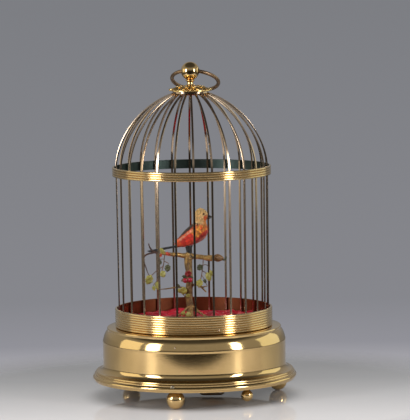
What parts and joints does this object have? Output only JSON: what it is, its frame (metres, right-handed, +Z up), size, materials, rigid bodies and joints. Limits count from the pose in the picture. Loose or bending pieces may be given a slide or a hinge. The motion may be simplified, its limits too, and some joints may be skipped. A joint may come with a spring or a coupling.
{
  "type": "singing bird automaton",
  "caption": "Singing bird automaton: domed wire cage on a round flanged base with ball feet, holding a small bird on a leafy branch over a crushed cloth floor.",
  "frame": {"origin": "on the floor under the middle of the round base", "axes": "+Z up the cage axis, front towards -Y, the bird faces +X"},
  "size_m": [0.16, 0.16, 0.2624],
  "materials": {
    "polished_brass": "polished and lacquered",
    "aged_brass": "worn, brown with age",
    "movement_brass": "plain brass",
    "blued_steel": "fine ground",
    "gilded_branch": "gilded, rough like bark",
    "crimson_cloth": "crushed satin",
    "painted_leaf": "painted, half matt",
    "painted_flower": "painted, half matt",
    "orange_plumage": "dyed feathers",
    "cream_plumage": "dyed feathers",
    "dark_plumage": "dark feathers and horn",
    "chest_wood": "oiled",
    "bellows_leather": "thin, matt"
  },
  "bodies": {
    "cage": {"base_shell": "polished_brass", "bottom_plate": "aged_brass", "foot_1": "polished_brass", "foot_2": "polished_brass", "foot_3": "polished_brass", "rim_screw_1": "aged_brass", "rim_screw_2": "aged_brass", "rim_screw_3": "aged_brass", "gallery_band": "polished_brass", "mid_band": "polished_brass", "cage_bars": "aged_brass", "crown_plate": "aged_brass", "finial": "polished_brass", "deck_plate": "aged_brass", "floor_cloth": "crimson_cloth", "perch": "gilded_branch", "left_twig": "gilded_branch", "left_spray": "painted_leaf", "right_spray": "painted_leaf", "low_spray": "painted_leaf", "ground_leaf": "painted_leaf", "flower_spray": "painted_flower", "bird_body": "orange_plumage", "lower_plate": "movement_brass", "upper_plate": "movement_brass", "pillar_1": "movement_brass", "pillar_2": "movement_brass", "pillar_3": "movement_brass", "pillar_4": "movement_brass", "click_spring": "blued_steel", "wind_chest": "chest_wood", "bellows_leather": "bellows_leather", "whistle_tube": "movement_brass"},
    "ring": {"suspension_ring": "aged_brass"},
    "barrel": {"spring_barrel": "movement_brass", "barrel_cover": "movement_brass", "mainspring": "blued_steel"},
    "cams": {"cam_arbor": "blued_steel", "pitch_cam": "movement_brass", "lift_cam": "movement_brass", "turn_cam": "movement_brass"},
    "eccentric": {"third_arbor": "blued_steel", "bellows_eccentric": "movement_brass"},
    "fly": {"fly": "blued_steel"},
    "winder": {"winding_arbor": "blued_steel", "ratchet_wheel": "blued_steel", "winding_key": "aged_brass"},
    "click": {"click": "blued_steel"},
    "start_lever": {"start_lever": "aged_brass"},
    "stop_arm": {"stop_arm": "blued_steel"},
    "pitch_lever": {"pitch_lever": "blued_steel"},
    "whistle_piston": {"whistle_piston": "blued_steel"},
    "bellows_board": {"bellows_board": "chest_wood"},
    "lift_lever": {"lift_lever": "blued_steel"},
    "lift_tube": {"lift_tube": "blued_steel"},
    "tail": {"bird_tail": "dark_plumage"},
    "beak_wire": {"beak_wire": "blued_steel"},
    "turn_rod": {"turn_rod": "blued_steel"},
    "head": {"bird_head": "cream_plumage"},
    "lower_beak": {"lower_beak": "dark_plumage"}
  },
  "joints": [
    {"name": "ring_swing", "type": "hinge", "parent": "cage", "child": "ring", "pos_m": [0, 0, 0.2552], "axis": [0.9673, -0.2538, 0], "range_deg": [-6, 210]},
    {"name": "barrel_turn", "type": "hinge", "parent": "cage", "child": "barrel", "pos_m": [0.0133, -0.008, 0.0296], "axis": [0, 0, 1], "continuous": true},
    {"name": "cam_turn", "type": "hinge", "parent": "cage", "child": "cams", "pos_m": [-0.00462, -0.02144, 0.0296], "axis": [0, 0, 1], "continuous": true},
    {"name": "eccentric_turn", "type": "hinge", "parent": "cage", "child": "eccentric", "pos_m": [-0.01605, -0.01484, 0.0296], "axis": [0, 0, 1], "continuous": true},
    {"name": "fly_spin", "type": "hinge", "parent": "cage", "child": "fly", "pos_m": [-0.02145, -0.00549, 0.0296], "axis": [0, 0, 1], "continuous": true},
    {"name": "winding_turn", "type": "hinge", "parent": "cage", "child": "winder", "pos_m": [0.0133, -0.008, 0.0188], "axis": [0, 0, 1], "continuous": true},
    {"name": "click_lift", "type": "hinge", "parent": "cage", "child": "click", "pos_m": [0.0169, 0.0044, 0.0188], "axis": [0, 0, -1], "range_deg": [-3.5, 8], "stiffness_Nm_per_rad": 0.002, "springref_deg": -2.86},
    {"name": "start_knob", "type": "hinge", "parent": "cage", "child": "start_lever", "pos_m": [0.026, -0.036, 0.0128], "axis": [0, 0, 1], "range_deg": [0, 16]},
    {"name": "stop_swing", "type": "hinge", "parent": "cage", "child": "stop_arm", "pos_m": [-0.008, -0.036, 0.0176], "axis": [0, 0, 1], "range_deg": [-10, 0]},
    {"name": "pitch_swing", "type": "hinge", "parent": "cage", "child": "pitch_lever", "pos_m": [0.017, 0.016, 0.04], "axis": [0, 0, 1], "range_deg": [-3.4, 0]},
    {"name": "piston_slide", "type": "slide", "parent": "cage", "child": "whistle_piston", "axis": [-1, 0, 0], "range_m": [-0.00115, 0]},
    {"name": "bellows_swing", "type": "hinge", "parent": "cage", "child": "bellows_board", "pos_m": [0.013, 0.0215, 0.033], "axis": [0, 0, -1], "range_deg": [-4.6, 0], "deforming": ["bellows_leather"]},
    {"name": "lift_swing", "type": "hinge", "parent": "cage", "child": "lift_lever", "pos_m": [-0.0032, -0.0125, 0.0514], "axis": [1, 0, 0], "range_deg": [0, 3.2]},
    {"name": "lift_slide", "type": "slide", "parent": "cage", "child": "lift_tube", "axis": [0, 0, 1], "range_m": [0, 0.000698]},
    {"name": "tail_swing", "type": "hinge", "parent": "cage", "child": "tail", "pos_m": [-0.0104, 0, 0.1212], "axis": [0, -1, 0], "range_deg": [0, 6]},
    {"name": "beak_wire_slide", "type": "slide", "parent": "cage", "child": "beak_wire", "axis": [0, 0, 1], "range_m": [0, 0.0018]},
    {"name": "turn_swing", "type": "hinge", "parent": "cage", "child": "turn_rod", "pos_m": [-0.0032, 0, 0.09], "axis": [0, 0, 1], "range_deg": [0, 7]},
    {"name": "head_turn", "type": "hinge", "parent": "cage", "child": "head", "pos_m": [0.0066, 0, 0.1416], "axis": [0, 0, 1], "range_deg": [-17, 0]},
    {"name": "beak_open", "type": "hinge", "parent": "head", "child": "lower_beak", "pos_m": [0.011, 0, 0.1396], "axis": [0, 1, 0], "range_deg": [0, 22]}
  ],
  "couplings": [
    {"joint": "cam_turn", "follows": "barrel_turn", "ratio": -4},
    {"joint": "eccentric_turn", "follows": "barrel_turn", "ratio": 16},
    {"joint": "fly_spin", "follows": "barrel_turn", "ratio": -64},
    {"joint": "stop_swing", "follows": "start_knob", "ratio": -0.619},
    {"joint": "piston_slide", "follows": "pitch_swing", "m_per_rad": 0.0189},
    {"joint": "lift_swing", "follows": "lift_slide", "rad_per_m": 80},
    {"joint": "tail_swing", "follows": "lift_slide", "rad_per_m": 138.88},
    {"joint": "beak_wire_slide", "follows": "lift_slide", "ratio": 2.36},
    {"joint": "beak_open", "follows": "lift_slide", "rad_per_m": 536},
    {"joint": "head_turn", "follows": "turn_swing", "ratio": -2.38}
  ]
}
